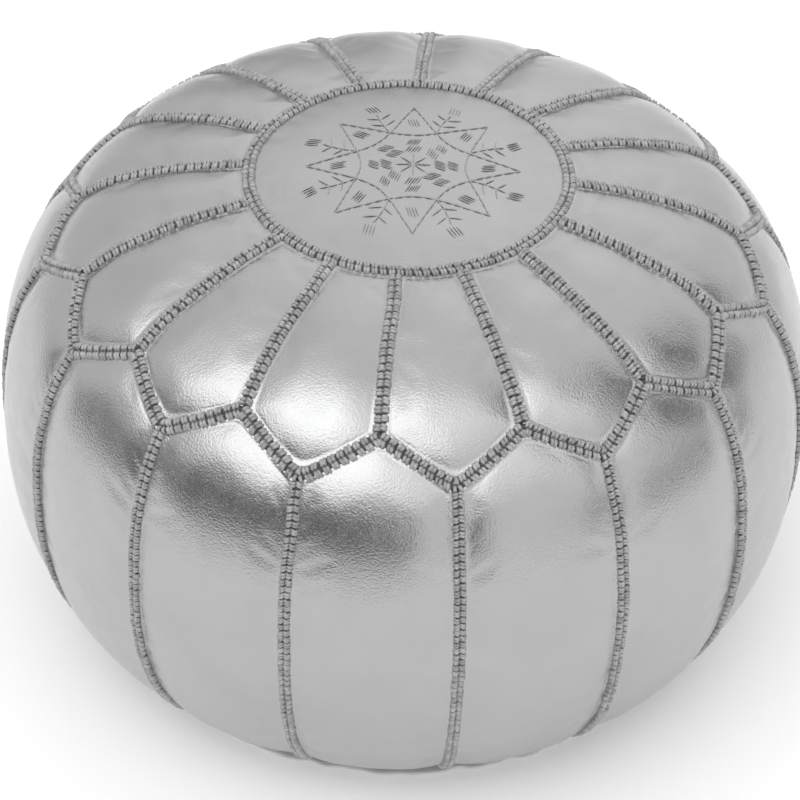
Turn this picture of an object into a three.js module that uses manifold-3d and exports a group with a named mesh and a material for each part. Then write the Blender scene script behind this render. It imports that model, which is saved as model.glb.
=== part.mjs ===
// A round stuffed leather pouf: a stitched medallion, sixteen petals and sixteen side panels sewn into a
// drum with braided thread over every seam, and a flat base that opens with a zip.
// Millimetres, +Z up. The origin is on the floor under the pouf's centre, and one petal seam faces -Y.
import * as THREE from "three";
import { mergeVertices } from "three/addons/utils/BufferGeometryUtils.js";
import Module from "manifold-3d";

const wasm = await Module();
wasm.setup();

// Driving dimensions -------------------------------------------------------------------------------

const PANELS = 16; // petals, and as many side panels
const LEATHER = 2;
const SEAM_GAP = 0.25; // half the gap between two neighbouring panels

// The seam line in section, from the crown to the base seam, as radius and height.
const OUTLINE = [
  [0, 348],
  [52, 345.8],
  [104, 340],
  [158, 332],
  [206, 314.5],
  [244, 279.5],
  [266, 232],
  [275, 158],
  [267, 90],
  [246, 42],
  [222, 17],
  [203, 3.8],
];
const RING_RADIUS = 104; // seam between the medallion and the petals
const PEAK_RADIUS = 218; // where a petal seam meets the zigzag
const POINT_RADIUS = 240; // a petal's outer point, where a side seam starts

const PETAL_PUFF = 4; // how far a stuffed panel stands over its seams
const SIDE_PUFF = 4.5;
const MEDALLION = { puff: 1.5, flat: 30, stations: [55, 80] }; // flat in the middle, then stations outwards
const FLAT_MARGIN = 4.8; // strip beside a seam that stays down under the braid

const BRAID_WIDTH = 7.5;
const BRAID_CROWN = 0.6; // share of the width that stays at full height
const BRAID_HEIGHT = 2.2;
const BRAID_LIFT = 0.3; // clearance between the braid and the leather
const BRAID_END = 4; // from the side seams' braid to the hem

const BASE_RADIUS = 198;
const RECESS = 8; // height of the middle of the base above the floor, so that the zip hangs clear
const RECESS_RADIUS = 122;
const REST_RADIUS = 148; // the base lies on the floor from here outwards
const WELT = { inner: 198.5, outer: 221, low: 0.4, high: 2.9, corner: 1, topCorner: 0.6 };
const HALF_GAP = 0.2; // half the gap between the two halves of the base
const ROUND = { cover: 32, base: 48, inside: 24 }; // facets around a full turn

const LINER = 1.2;
const LINER_INSET = 6; // from the seam line to the inner bag
const FILL_GAP = 0.6;
const LINER_FLOOR = 14; // height of the inner bag over the zip
const LINER_EDGE = 6; // and where the base lies on the floor
const LINER_TURN = 55; // distance up from the hem at which the bag leaves the cover
const MOUTH_HALF_WIDTH = 4;

const ZIP = {
  slitLength: 228,
  slitHalfWidth: 6.5,
  tapeLength: 236,
  tapeInner: 1,
  tapeOuter: 16,
  tapeThickness: 0.8,
  rowLength: 212,
  pitch: 5.3,
  toothInner: 0.8,
  toothRoot: 2.6,
  toothOuter: 3.5,
  toothHeight: 2.3,
  toothFoot: 0.2, // shares of the pitch at which a tooth rises and is at full length
  toothTip: 0.3,
  stopLength: 3,
  stopGap: 0.5,
};
const SLIDER = {
  length: 11,
  width: 10,
  tailCorner: 1.5, // cut off the corners towards -X
  noseCorner: { along: 3, across: 2 }, // and towards +X
  plate: 1.8,
  innerPlate: 1.5,
  clearance: 0.4,
  flange: 1.1,
  postWidth: 0.9,
  postLength: 2.5,
  postInset: 1,
  overlap: 0.5, // how far the joined blocks run into each other
  loopWidth: 1.6,
  loopSpan: 7,
  loopBar: 0.9,
  loopDrop: 2.8,
};
const FLANGE_INSET = 0.1;
const PIVOT_DROP = 0.95; // from the slider's outer plate down to the middle of its loop
const PULL = {
  length: 27,
  ringLength: 8,
  ringWidth: 5,
  ringEnd: 1.5,
  endWidth: 7,
  bar: 1.2,
  hole: 2.4,
  thickness: 1,
};
const TOUCH = 0.3; // clearance between stacked pieces

// Worked-out dimensions
const SEAM_ANGLE = (2 * Math.PI) / PANELS;
const tapeBottom = RECESS + LEATHER + TOUCH;
const tapeTop = tapeBottom + ZIP.tapeThickness;
const toothTop = tapeBottom - TOUCH;
const toothBottom = toothTop - ZIP.toothHeight;
const plateTop = toothBottom - SLIDER.clearance;
const plateBottom = plateTop - SLIDER.plate;
const sliderX = ZIP.rowLength / 2 + ZIP.stopGap - SLIDER.length / 2;
const pullPivot = new THREE.Vector3(sliderX, 0, plateBottom - PIVOT_DROP);

// Colours ------------------------------------------------------------------------------------------

const material = (color, roughness, metalness) =>
  new THREE.MeshStandardMaterial({ color, roughness, metalness });
const SILVER_LEATHER = () => material(0xb9babd, 0.32, 0.85);
const GREY_THREAD = () => material(0x75767b, 0.7, 0.1);
const BASE_LEATHER = () => material(0xb0b1b4, 0.45, 0.6);
const COTTON = () => material(0xd9d4c7, 0.95, 0);
const FIBRE = () => material(0xeeece6, 1, 0);
const ZIP_TAPE = () => material(0x8c8d90, 0.9, 0);
const ZIP_METAL = () => material(0xc4c4c2, 0.3, 0.95);

// Solids -------------------------------------------------------------------------------------------

const pouf = new THREE.Group();

function addPart(name, geometry, paint) {
  const mesh = new THREE.Mesh(geometry, paint);
  mesh.name = name;
  pouf.add(mesh);
  return mesh;
}

function toSolid(geometry) {
  const bare = new THREE.BufferGeometry();
  bare.setAttribute("position", geometry.getAttribute("position"));
  if (geometry.index) bare.setIndex(geometry.index);
  const merged = mergeVertices(bare, 1e-3);
  return new wasm.Manifold(
    new wasm.Mesh({
      numProp: 3,
      vertProperties: merged.attributes.position.array,
      triVerts: new Uint32Array(merged.index.array),
    }),
  );
}

function toGeometry(solid) {
  const { numProp, vertProperties, triVerts } = solid.getMesh();
  const positions = new Float32Array((vertProperties.length / numProp) * 3);
  for (let i = 0; i < positions.length / 3; i++)
    positions.set(vertProperties.subarray(i * numProp, i * numProp + 3), i * 3);
  return new THREE.BufferGeometry()
    .setAttribute("position", new THREE.BufferAttribute(positions, 3))
    .setIndex(new THREE.BufferAttribute(triVerts, 1));
}

function block(low, high) {
  const size = high.map((value, axis) => value - low[axis]);
  return new THREE.BoxGeometry(...size).translate(
    ...high.map((value, axis) => (value + low[axis]) / 2),
  );
}

const SIDES = { front: -1, back: 1 };

// Mirrors a y range to one side of the zip and keeps its low end first.
const sideRange = (side, inner, outer) => [side * inner, side * outer].sort((a, b) => a - b);

const numbers = (count, make) => Array.from({ length: count }, (_, i) => make(i));
const joined = (solids) => solids.reduce((sum, solid) => sum.add(solid));

// The cover's surface --------------------------------------------------------------------------------

const outline = new THREE.CatmullRomCurve3(
  OUTLINE.map(([radius, height]) => new THREE.Vector3(radius, height, 0)),
  false,
  "centripetal",
);
outline.arcLengthDivisions = 2000;
const OUTLINE_LENGTH = outline.getLength();

// Distance down the outline, from the crown, at which its upper half reaches a radius.
function distanceTo(radius) {
  let [low, high] = [0, OUTLINE_LENGTH / 2];
  while (high - low > 1e-4) {
    const middle = (low + high) / 2;
    if (outline.getPointAt(middle / OUTLINE_LENGTH).x < radius) low = middle;
    else high = middle;
  }
  return low;
}
const RING = distanceTo(RING_RADIUS);
const PEAK = distanceTo(PEAK_RADIUS);
const POINT = distanceTo(POINT_RADIUS);
const HEM = OUTLINE_LENGTH;

// Radius and height at a distance down the outline, standing off it by lift.
function section(distance, lift = 0) {
  const share = THREE.MathUtils.clamp(distance / OUTLINE_LENGTH, 0, 1);
  const place = outline.getPointAt(share);
  const along = outline.getTangentAt(share);
  return [place.x - along.y * lift, place.y + along.x * lift];
}

// A point of the cover. turn counts seams round from -Y, so one panel is 1 wide.
function cover(turn, distance, lift = 0) {
  const [radius, height] = section(distance, lift);
  const angle = turn * SEAM_ANGLE;
  return new THREE.Vector3(radius * Math.sin(angle), -radius * Math.cos(angle), height);
}

const panelWidth = (distance) => section(distance)[0] * SEAM_ANGLE;

// How far down the zigzag seam lies: highest at a whole turn, lowest at the petals' points between.
function zigzag(turn) {
  const fromSeam = 1 - Math.abs(2 * (turn - Math.floor(turn)) - 1);
  return THREE.MathUtils.lerp(PEAK, POINT, fromSeam);
}

// Panels ---------------------------------------------------------------------------------------------

const puffAcross = (share) => 1 - Math.abs(2 * share - 1) ** 2.5;

// Cuts between two seams: the edge, the flat strip by the seam, then even steps.
function cuts(length, steps) {
  const inside = length - 2 * FLAT_MARGIN;
  return [
    SEAM_GAP,
    ...numbers(steps + 1, (i) => FLAT_MARGIN + (inside * i) / steps),
    length - SEAM_GAP,
  ];
}

// A sheet of leather from a grid of points: corner(row, column, side) with side 0 outside and 1 inside.
function sheet(rows, columns, corner) {
  const positions = [];
  for (const side of [0, 1])
    for (let row = 0; row < rows; row++)
      for (let column = 0; column < columns; column++)
        positions.push(...corner(row, column, side).toArray());
  const at = (row, column, side) => (side * rows + row) * columns + column;
  const faces = [];
  const quad = (a, b, c, d) => faces.push(a, b, c, a, c, d);
  for (let row = 0; row < rows - 1; row++)
    for (let column = 0; column < columns - 1; column++) {
      const [r, c] = [row + 1, column + 1];
      quad(at(row, column, 0), at(r, column, 0), at(r, c, 0), at(row, c, 0));
      quad(at(row, column, 1), at(row, c, 1), at(r, c, 1), at(r, column, 1));
    }
  const last = { row: rows - 1, column: columns - 1 };
  for (let row = 0; row < last.row; row++) {
    quad(at(row, 0, 0), at(row, 0, 1), at(row + 1, 0, 1), at(row + 1, 0, 0));
    const [a, b] = [at(row, last.column, 0), at(row + 1, last.column, 0)];
    quad(a, b, at(row + 1, last.column, 1), at(row, last.column, 1));
  }
  for (let column = 0; column < last.column; column++) {
    quad(at(0, column, 0), at(0, column + 1, 0), at(0, column + 1, 1), at(0, column, 1));
    const [a, b] = [at(last.row, column, 0), at(last.row, column, 1)];
    quad(a, b, at(last.row, column + 1, 1), at(last.row, column + 1, 0));
  }
  return new THREE.BufferGeometry()
    .setAttribute("position", new THREE.Float32BufferAttribute(positions, 3))
    .setIndex(faces);
}

// A panel between the seams at firstTurn and firstTurn + 1, and between two seams across it.
function panel({ firstTurn, top, bottom, topMargin, bottomMargin, across, down, puff }) {
  const columns = across + 3;
  const rows = down + 3;
  const corner = (row, column, side) => {
    const nominal = THREE.MathUtils.clamp((column - 1) / across, 0, 1);
    const high = top(firstTurn + nominal);
    const low = bottom(firstTurn + nominal);
    const step = THREE.MathUtils.clamp((row - 1) / down, 0, 1);
    let distance = THREE.MathUtils.lerp(high + topMargin, low - bottomMargin, step);
    if (row === 0) distance = high + SEAM_GAP * 2;
    if (row === rows - 1) distance = low - SEAM_GAP * 2;
    const width = panelWidth(distance);
    const share = cuts(width, across)[column] / width;
    const swell = puff * puffAcross(nominal) * puffAcross(step);
    return cover(firstTurn + share, distance, swell - side * LEATHER);
  };
  return sheet(rows, columns, corner);
}

const twoDigits = (i) => String(i + 1).padStart(2, "0");
const ZIGZAG_MARGIN = FLAT_MARGIN * 1.3; // the zigzag crosses the panels at a slant
const PETAL_STEPS = { across: 4, down: 4 };
const SIDE_STEPS = { across: 4, down: 8 };

function petal(i) {
  return panel({
    firstTurn: i,
    top: () => RING,
    bottom: zigzag,
    topMargin: FLAT_MARGIN,
    bottomMargin: ZIGZAG_MARGIN,
    ...PETAL_STEPS,
    puff: PETAL_PUFF,
  });
}

function sidePanel(i) {
  return panel({
    firstTurn: i + 0.5,
    top: zigzag,
    bottom: () => HEM,
    topMargin: ZIGZAG_MARGIN,
    bottomMargin: FLAT_MARGIN,
    ...SIDE_STEPS,
    puff: SIDE_PUFF,
  });
}

const lathe = (profile, segments) =>
  new THREE.LatheGeometry(
    profile.map(([radius, height]) => new THREE.Vector2(radius, height)),
    segments,
  ).rotateX(Math.PI / 2);

// The round top panel. Its middle is flat, and it turns down to the ring seam.
function medallion() {
  const { puff, flat } = MEDALLION;
  const stations = [flat, ...MEDALLION.stations, RING - FLAT_MARGIN, RING - 2 * SEAM_GAP];
  const lift = [puff, puff, 0.7 * puff, 0, 0];
  const outside = stations.map((distance, i) => section(distance, lift[i]));
  const inside = stations.map((distance, i) => section(distance, lift[i] - LEATHER));
  const crown = outside[0][1];
  const profile = [[0, crown - LEATHER], ...inside, ...outside.reverse(), [0, crown]];
  return lathe(profile, ROUND.cover);
}

addPart("top_medallion", medallion(), SILVER_LEATHER());
for (let i = 0; i < PANELS; i++) {
  addPart("top_petal_" + twoDigits(i), petal(i), SILVER_LEATHER());
  addPart("side_panel_" + twoDigits(i), sidePanel(i), SILVER_LEATHER());
}

// Braided stitching over the seams ---------------------------------------------------------------------

// A band laid over the cover along stops of [turn, distance]. A closed band ends where it starts.
function braid(stops, closed = false) {
  const centres = stops.map(([turn, distance]) => cover(turn, distance));
  const normals = stops.map(([turn, distance], i) =>
    cover(turn, distance, 1).sub(centres[i]).normalize(),
  );
  const count = stops.length;
  const direction = (from, to) => centres[to].clone().sub(centres[from]).normalize();
  const ring = (i) => {
    const before = closed ? (i + count - 1) % count : Math.max(i - 1, 0);
    const after = closed ? (i + 1) % count : Math.min(i + 1, count - 1);
    const arriving = before === i ? direction(i, after) : direction(before, i);
    const leaving = after === i ? arriving : direction(i, after);
    const along = arriving.clone().add(leaving).normalize();
    const mitre = 1 / along.dot(leaving);
    const beside = along.clone().cross(normals[i]).normalize();
    const corner = (side, lift) =>
      centres[i]
        .clone()
        .addScaledVector(beside, (side * BRAID_WIDTH * mitre) / 2)
        .addScaledVector(normals[i], lift);
    const high = BRAID_LIFT + BRAID_HEIGHT;
    const low = [corner(-1, BRAID_LIFT), corner(1, BRAID_LIFT)];
    return [...low, corner(BRAID_CROWN, high), corner(-BRAID_CROWN, high)];
  };
  const sides = 4;
  const positions = numbers(count, ring).flatMap((points) => points.flatMap((p) => p.toArray()));
  const faces = [];
  const spans = closed ? count : count - 1;
  for (let i = 0; i < spans; i++)
    for (let side = 0; side < sides; side++) {
      const [here, there] = [i * sides, ((i + 1) % count) * sides];
      const next = (side + 1) % sides;
      faces.push(here + side, there + next, here + next);
      faces.push(here + side, there + side, there + next);
    }
  if (!closed) {
    const end = (count - 1) * sides;
    faces.push(0, 1, 2, 0, 2, 3);
    faces.push(end, end + 2, end + 1, end, end + 3, end + 2);
  }
  const geometry = new THREE.BufferGeometry()
    .setAttribute("position", new THREE.Float32BufferAttribute(positions, 3))
    .setIndex(faces);
  return toSolid(geometry);
}

// A band down one seam. It bends where the panels beside it bend.
const downSeam = (turn, start, end, { from, to, down }) =>
  braid([
    [turn, start],
    ...numbers(down + 1, (i) => [turn, THREE.MathUtils.lerp(from, to, i / down)]),
    [turn, end],
  ]);

const JOIN = 1.5; // how far one band runs into the band that it meets
const SLANT = 1.22; // the zigzag band's width measured down the cover, over its own width
const BAND_GAP = 0.6;

function topBraid() {
  const perPanel = 3;
  const ring = braid(
    numbers(PANELS * perPanel, (i) => [i / perPanel, RING]),
    true,
  );
  const start = RING + BRAID_WIDTH / 2 - JOIN;
  const end = PEAK - (BRAID_WIDTH * SLANT) / 2 - BAND_GAP;
  const bends = { from: RING + FLAT_MARGIN, to: PEAK - ZIGZAG_MARGIN, down: PETAL_STEPS.down };
  return joined([ring, ...numbers(PANELS, (i) => downSeam(i, start, end, bends))]);
}

function lowerBraid() {
  const perLeg = 3;
  const edge = braid(
    numbers(PANELS * 2 * perLeg, (i) => [i / (2 * perLeg), zigzag(i / (2 * perLeg))]),
    true,
  );
  const start = POINT + (BRAID_WIDTH * SLANT) / 2 - JOIN;
  const end = HEM - BRAID_END;
  const bends = { from: POINT + ZIGZAG_MARGIN, to: HEM - FLAT_MARGIN, down: SIDE_STEPS.down };
  return joined([edge, ...numbers(PANELS, (i) => downSeam(i + 0.5, start, end, bends))]);
}

addPart("ring_and_petal_seam_braid", toGeometry(topBraid()), GREY_THREAD());
addPart("zigzag_and_side_seam_braid", toGeometry(lowerBraid()), GREY_THREAD());

// Base -------------------------------------------------------------------------------------------------

function basePlate() {
  const underside = [
    [0, RECESS],
    [RECESS_RADIUS, RECESS],
    [REST_RADIUS, 0],
    [BASE_RADIUS, 0],
  ];
  const topside = underside.map(([radius, height]) => [radius, height + LEATHER]).reverse();
  return toSolid(lathe([...underside, ...topside], ROUND.base));
}

// Everything on one side of the middle line, with room to spare all round.
function baseHalf(side) {
  const reach = 2 * BASE_RADIUS;
  const [near, far] = sideRange(side, HALF_GAP, reach);
  const half = toSolid(block([-reach, near, -reach], [reach, far, reach]));
  const { slitLength, slitHalfWidth } = ZIP;
  const slit = toSolid(
    block([-slitLength / 2, -slitHalfWidth, 0], [slitLength / 2, slitHalfWidth, 2 * RECESS]),
  );
  return basePlate().intersect(half).subtract(slit);
}

for (const [name, side] of Object.entries(SIDES))
  addPart("base_half_" + name, toGeometry(baseHalf(side)), BASE_LEATHER());
addPart(
  "base_welt",
  lathe(
    [
      [WELT.inner, WELT.low],
      [WELT.outer - WELT.corner, WELT.low],
      [WELT.outer, WELT.low + WELT.corner],
      [WELT.outer, WELT.high - WELT.topCorner],
      [WELT.outer - WELT.corner, WELT.high],
      [WELT.inner, WELT.high],
      [WELT.inner, WELT.low],
    ],
    ROUND.base,
  ),
  SILVER_LEATHER(),
);

// Inner bag and stuffing ---------------------------------------------------------------------------------

// The inside of the cover in section, from the crown to the middle of the base.
function insideProfile(inset, floor) {
  const lastOnOutline = HEM - LINER_TURN;
  const steps = 11;
  const upper = numbers(steps + 1, (i) => section((lastOnOutline * i) / steps, -inset));
  upper[0][0] = 0;
  const lower = [
    [BASE_RADIUS, LINER_EDGE + floor],
    [REST_RADIUS, LINER_EDGE + floor],
    [RECESS_RADIUS, LINER_FLOOR + floor],
    [0, LINER_FLOOR + floor],
  ];
  return [...upper, ...lower];
}

function liner() {
  const outside = insideProfile(LINER_INSET, 0);
  const inside = insideProfile(LINER_INSET + LINER, LINER);
  const bag = toSolid(lathe([...outside].reverse(), ROUND.inside));
  const hollow = toSolid(lathe([...inside].reverse(), ROUND.inside));
  const mouth = toSolid(
    block(
      [-ZIP.rowLength / 2, -MOUTH_HALF_WIDTH, LINER_FLOOR - LINER],
      [ZIP.rowLength / 2, MOUTH_HALF_WIDTH, LINER_FLOOR + 2 * LINER],
    ),
  );
  return bag.subtract(hollow).subtract(mouth);
}

const stuffing = () =>
  lathe(insideProfile(LINER_INSET + LINER + FILL_GAP, LINER + FILL_GAP).reverse(), ROUND.inside);

addPart("inner_bag", toGeometry(liner()), COTTON());
addPart("stuffing", stuffing(), FIBRE());

// Zip ----------------------------------------------------------------------------------------------------

function zipTape(side) {
  const [near, far] = sideRange(side, ZIP.tapeInner, ZIP.tapeOuter);
  const half = ZIP.tapeLength / 2;
  return block([-half, near, tapeBottom], [half, far, tapeTop]);
}

// One row of teeth on their backing strip, as a comb. The rows leave the slider's post a way between them.
function zipTeeth(side) {
  const { toothFoot, toothTip } = ZIP;
  const count = Math.round(ZIP.rowLength / ZIP.pitch);
  const start = -ZIP.rowLength / 2;
  const shape = new THREE.Shape();
  shape.moveTo(start, side * ZIP.toothOuter);
  for (let i = 0; i < count; i++) {
    const x = start + i * ZIP.pitch;
    shape.lineTo(x, side * ZIP.toothRoot);
    shape.lineTo(x + ZIP.pitch * toothFoot, side * ZIP.toothRoot);
    shape.lineTo(x + ZIP.pitch * toothTip, side * ZIP.toothInner);
    shape.lineTo(x + ZIP.pitch * (1 - toothTip), side * ZIP.toothInner);
    shape.lineTo(x + ZIP.pitch * (1 - toothFoot), side * ZIP.toothRoot);
  }
  shape.lineTo(-start, side * ZIP.toothRoot);
  shape.lineTo(-start, side * ZIP.toothOuter);
  shape.closePath();
  return new THREE.ExtrudeGeometry(shape, {
    depth: ZIP.toothHeight,
    bevelEnabled: false,
  }).translate(0, 0, toothBottom);
}

function topStop(side) {
  const [near, far] = sideRange(side, ZIP.toothInner, ZIP.toothOuter);
  const start = ZIP.rowLength / 2 + 2 * ZIP.stopGap;
  return block([start, near, toothBottom], [start + ZIP.stopLength, far, toothTop]);
}

function bottomStop() {
  const start = -ZIP.rowLength / 2 - ZIP.stopGap;
  return block(
    [start - ZIP.stopLength, -ZIP.toothOuter, toothBottom],
    [start, ZIP.toothOuter, toothTop],
  );
}

for (const [name, side] of Object.entries(SIDES)) {
  addPart("zip_tape_" + name, zipTape(side), ZIP_TAPE());
  addPart("zip_teeth_" + name, zipTeeth(side), ZIP_METAL());
  addPart("zip_top_stop_" + name, topStop(side), ZIP_METAL());
}
addPart("zip_bottom_stop", bottomStop(), ZIP_METAL());

// The slider: an outer and an inner plate joined by a thin post between the rows of teeth, side flanges
// that guide the teeth, and a loop under the outer plate that holds the pull.
function slider() {
  const x0 = sliderX - SLIDER.length / 2;
  const x1 = sliderX + SLIDER.length / 2;
  const half = SLIDER.width / 2;
  const innerBottom = tapeTop + SLIDER.clearance;
  const { tailCorner, noseCorner, overlap } = SLIDER;
  const plateOutline = new THREE.Shape([
    new THREE.Vector2(x0, -half + tailCorner),
    new THREE.Vector2(x0 + tailCorner, -half),
    new THREE.Vector2(x1 - noseCorner.along, -half),
    new THREE.Vector2(x1, -half + noseCorner.across),
    new THREE.Vector2(x1, half - noseCorner.across),
    new THREE.Vector2(x1 - noseCorner.along, half),
    new THREE.Vector2(x0 + tailCorner, half),
    new THREE.Vector2(x0, half - tailCorner),
  ]);
  const plate = (height, depth) =>
    toSolid(
      new THREE.ExtrudeGeometry(plateOutline, { depth, bevelEnabled: false }).translate(0, 0, height),
    );
  const flange = (side) => {
    const [near, far] = sideRange(side, half - SLIDER.flange, half);
    const [tail, nose] = [x0 + tailCorner + FLANGE_INSET, x1 - noseCorner.along - FLANGE_INSET];
    return toSolid(
      block([tail, near, plateBottom + overlap], [nose, far, toothTop - FLANGE_INSET]),
    );
  };
  const post = toSolid(
    block(
      [x1 - SLIDER.postInset - SLIDER.postLength, -SLIDER.postWidth / 2, plateBottom + overlap],
      [x1 - SLIDER.postInset, SLIDER.postWidth / 2, innerBottom + overlap],
    ),
  );
  const span = SLIDER.loopSpan / 2;
  const width = SLIDER.loopWidth / 2;
  const loop = toSolid(
    block(
      [sliderX - span, -width, plateBottom - SLIDER.loopDrop],
      [sliderX + span, width, plateBottom + overlap],
    ),
  ).subtract(
    toSolid(
      block(
        [sliderX - span + SLIDER.loopBar, -width - 1, plateBottom - SLIDER.loopDrop + SLIDER.loopBar],
        [sliderX + span - SLIDER.loopBar, width + 1, plateBottom],
      ),
    ),
  );
  return joined([
    plate(plateBottom, SLIDER.plate),
    plate(innerBottom, SLIDER.innerPlate),
    flange(-1),
    flange(1),
    post,
    loop,
  ]);
}

// The pull lies flat towards -X at rest. Its end bar turns inside the slider's loop.
function pull() {
  const { length, ringLength, ringWidth, ringEnd, endWidth, bar, hole, thickness } = PULL;
  const half = ringWidth / 2;
  const tip = endWidth / 2;
  const shape = new THREE.Shape();
  shape.moveTo(bar / 2, -half);
  shape.lineTo(bar / 2, half);
  shape.lineTo(-ringLength, half);
  shape.lineTo(-length + tip, tip);
  shape.absarc(-length + tip, 0, tip, Math.PI / 2, (3 * Math.PI) / 2, false);
  shape.lineTo(-ringLength, -half);
  shape.closePath();
  const window = new THREE.Path();
  window.moveTo(-bar / 2, -hole / 2);
  window.lineTo(-ringLength + ringEnd, -hole / 2);
  window.lineTo(-ringLength + ringEnd, hole / 2);
  window.lineTo(-bar / 2, hole / 2);
  window.closePath();
  shape.holes.push(window);
  return new THREE.ExtrudeGeometry(shape, {
    depth: thickness,
    bevelEnabled: false,
    curveSegments: 8,
  }).translate(0, 0, -thickness / 2);
}

addPart("zip_slider", toGeometry(slider()), ZIP_METAL());
addPart("zip_pull", pull(), ZIP_METAL()).position.copy(pullPivot);

export default pouf;
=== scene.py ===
"""Round leather pouf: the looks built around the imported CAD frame.

The cover is sewn from a medallion, sixteen petals and sixteen side panels. Each panel is a sheet of
leather that a cloth simulation blows up between its pinned seams. Braided thread covers every seam.
Metres, +Z up.
"""

import math
from itertools import product

import bmesh
import bpy
import numpy as np
from mathutils import Matrix, Vector


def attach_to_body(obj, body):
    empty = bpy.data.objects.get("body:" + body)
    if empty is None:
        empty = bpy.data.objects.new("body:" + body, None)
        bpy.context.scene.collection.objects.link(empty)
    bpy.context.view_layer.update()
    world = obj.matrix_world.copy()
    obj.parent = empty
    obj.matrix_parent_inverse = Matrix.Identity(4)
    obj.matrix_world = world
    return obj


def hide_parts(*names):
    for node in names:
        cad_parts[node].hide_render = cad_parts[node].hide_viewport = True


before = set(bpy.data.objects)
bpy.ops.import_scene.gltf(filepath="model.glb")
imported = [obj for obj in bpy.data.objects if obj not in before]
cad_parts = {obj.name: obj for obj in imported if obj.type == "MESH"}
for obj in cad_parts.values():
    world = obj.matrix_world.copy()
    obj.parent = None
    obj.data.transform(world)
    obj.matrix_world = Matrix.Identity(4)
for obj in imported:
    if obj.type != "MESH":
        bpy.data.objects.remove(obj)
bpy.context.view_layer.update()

MM = 0.001
TINY = 1e-12  # keeps a direction from being divided by nothing
PANELS = 16
SEAM_ANGLE = 2 * math.pi / PANELS

# Seam line in section, from the crown to the hem, as radius and height in millimetres.
OUTLINE = [
    *((0, 348), (52, 345.8), (104, 340), (158, 332), (206, 314.5), (244, 279.5)),
    *((266, 232), (275, 158), (267, 90), (246, 42), (222, 17), (203, 3.8)),
]
RING_RADIUS = 104
PEAK_RADIUS = 218
POINT_RADIUS = 240


# Lines of points --------------------------------


def unit(vectors):
    """The vectors at length 1."""
    return vectors / np.maximum(np.linalg.norm(vectors, axis=-1, keepdims=True), TINY)


def run_length(points):
    """Distance along a line of points, from its start to each of them."""
    return np.concatenate([[0], np.cumsum(np.linalg.norm(np.diff(points, axis=0), axis=1))])


def around_z(radius, angle, height):
    """Points turned round Z, from -Y towards +X."""
    x, y, z = np.broadcast_arrays(radius * np.sin(angle), -radius * np.cos(angle), height)
    return np.stack([x, y, z], -1)


def looped(grid):
    """The grid with its first column once more after its last."""
    return np.concatenate([grid, grid[:, :1]], 1)


def grid_area(points):
    across, down = np.diff(points, axis=1)[:-1], np.diff(points, axis=0)[:, :-1]
    return float(np.linalg.norm(np.cross(across, down), axis=-1).sum())


def add_object(name, data, *materials):
    piece = bpy.data.objects.new(name, data)
    bpy.context.scene.collection.objects.link(piece)
    for material in materials:
        data.materials.append(material)
    return piece


# Section of the cover ---------------------------


def centripetal(points, steps=400):
    """A centripetal Catmull-Rom curve through the points, as many samples."""
    p = np.array(points, float)
    p = np.vstack([2 * p[0] - p[1], p, 2 * p[-1] - p[-2]])
    out = []
    for a, b, c, d in zip(p[:-3], p[1:-2], p[2:-1], p[3:]):
        knots = np.cumsum([0] + [np.linalg.norm(v) ** 0.5 for v in (b - a, c - b, d - c)])
        t = np.linspace(knots[1], knots[2], steps, endpoint=False)[:, None]

        def mix(u, v, i, j):
            return (u * (knots[j] - t) + v * (t - knots[i])) / (knots[j] - knots[i])

        ab, bc, cd = mix(a, b, 0, 1), mix(b, c, 1, 2), mix(c, d, 2, 3)
        out.append(mix(mix(ab, bc, 0, 2), mix(bc, cd, 1, 3), 1, 2))
    return np.vstack(out + [p[-2:-1]])


section_points = centripetal(OUTLINE) * MM
section_distance = run_length(section_points)
section_slope = np.gradient(section_points, section_distance, axis=0)
HEM = section_distance[-1]


def section(distance, lift=0.0):
    """Radius and height at a distance down the outline from the crown, standing off it by lift."""
    radius, height, dr, dz = (
        np.interp(distance, section_distance, column)
        for column in (*section_points.T, *section_slope.T)
    )
    return radius - dz * lift, height + dr * lift


def distance_to(radius):
    """Distance down the outline to a radius in its upper half."""
    upper = section_distance < HEM / 2
    return np.interp(radius, section_points[upper, 0], section_distance[upper])


RING = distance_to(RING_RADIUS * MM)
PEAK = distance_to(PEAK_RADIUS * MM)
POINT = distance_to(POINT_RADIUS * MM)


def cover(turn, distance, lift=0.0):
    """Points of the cover. turn counts petal seams round from -Y, so one panel is 1 wide."""
    radius, height = section(distance, lift)
    return around_z(radius, np.asarray(turn) * SEAM_ANGLE, height)


CORNER_ROUNDING = 0.09


def zigzag(turn):
    """Distance down the cover of the zigzag seam, with softly rounded corners."""
    wave = np.abs(2 * (np.asarray(turn) % 1) - 1)
    rounded = np.sqrt(wave**2 + CORNER_ROUNDING**2)
    low = np.sqrt((1 - wave) ** 2 + CORNER_ROUNDING**2)
    share = 1 - (rounded - low + 1) / 2
    return PEAK + (POINT - PEAK) * share


# Camera -----------------------------------------

CAMERA_DISTANCE = 1.62
CAMERA_ELEVATION = math.radians(40.7)
CAMERA_AZIMUTH = math.radians(3.6)
CAMERA_CENTRE = Vector((0, 0, 0.163))
CAMERA_AIM = (math.radians(-0.10), math.radians(-0.507))  # turned right, turned up
CAMERA_ROLL = math.radians(1.17)
CAMERA_LENS = 104.3


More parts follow.
